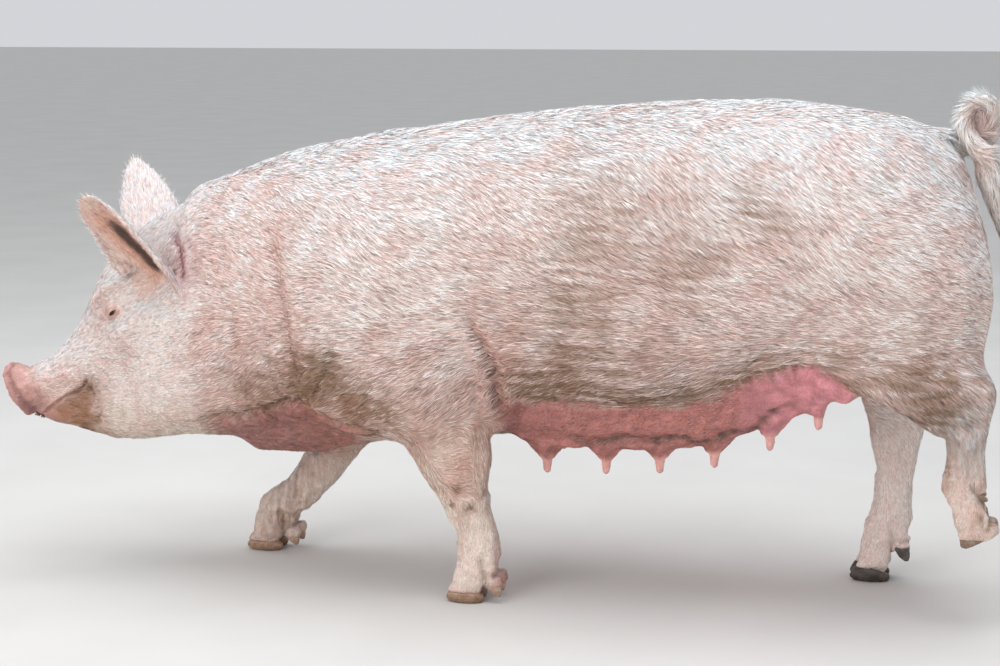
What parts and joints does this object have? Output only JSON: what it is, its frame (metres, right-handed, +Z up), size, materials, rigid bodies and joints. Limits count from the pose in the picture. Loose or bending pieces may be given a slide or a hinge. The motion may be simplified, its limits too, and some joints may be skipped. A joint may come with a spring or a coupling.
{
  "type": "pig",
  "caption": "Still life-size model of a full-grown white sow in a walking pose, with long trough-shaped ears, a full udder and a curled tail.",
  "frame": {"origin": "on the floor, under the middle of the part's length and width", "axes": "+X towards the tail, +Y to the pig's right, +Z up; the head points towards -X"},
  "size_m": [1.8381, 0.4836, 0.9025],
  "materials": {
    "skin": "soft pink skin under short cream bristles, matte",
    "udder_skin": "bare saturated pink skin with soft folds",
    "ear_skin": "thin pink skin with cream hair on its edges, brown inside",
    "snout_skin": "bare moist pink skin",
    "eye": "wet dark brown eye",
    "pale_horn": "tan-brown horn, dull",
    "dark_horn": "grey-black horn, dull"
  },
  "bodies": {
    "root": {"neck": "skin", "chest": "skin", "abdomen": "skin", "rump": "skin", "head": "skin", "jaw": "skin", "tail_root": "skin", "tail_curl": "skin", "tail_tip": "skin", "udder": "udder_skin", "ear_left": "ear_skin", "ear_right": "ear_skin", "snout": "snout_skin", "eye_left": "eye", "eye_right": "eye", "fore_left_upper": "skin", "fore_left_shank": "skin", "fore_left_foot": "skin", "fore_left_toe_outer": "pale_horn", "fore_left_dewclaw_outer": "pale_horn", "fore_left_toe_inner": "pale_horn", "fore_left_dewclaw_inner": "pale_horn", "fore_right_upper": "skin", "fore_right_shank": "skin", "fore_right_foot": "skin", "fore_right_toe_outer": "pale_horn", "fore_right_dewclaw_outer": "pale_horn", "fore_right_toe_inner": "pale_horn", "fore_right_dewclaw_inner": "pale_horn", "hind_left_upper": "skin", "hind_left_shank": "skin", "hind_left_foot": "skin", "hind_left_toe_outer": "dark_horn", "hind_left_dewclaw_outer": "dark_horn", "hind_left_toe_inner": "dark_horn", "hind_left_dewclaw_inner": "dark_horn", "hind_right_upper": "skin", "hind_right_shank": "skin", "hind_right_foot": "skin", "hind_right_toe_outer": "dark_horn", "hind_right_dewclaw_outer": "dark_horn", "hind_right_toe_inner": "dark_horn", "hind_right_dewclaw_inner": "dark_horn"}
  },
  "joints": []
}
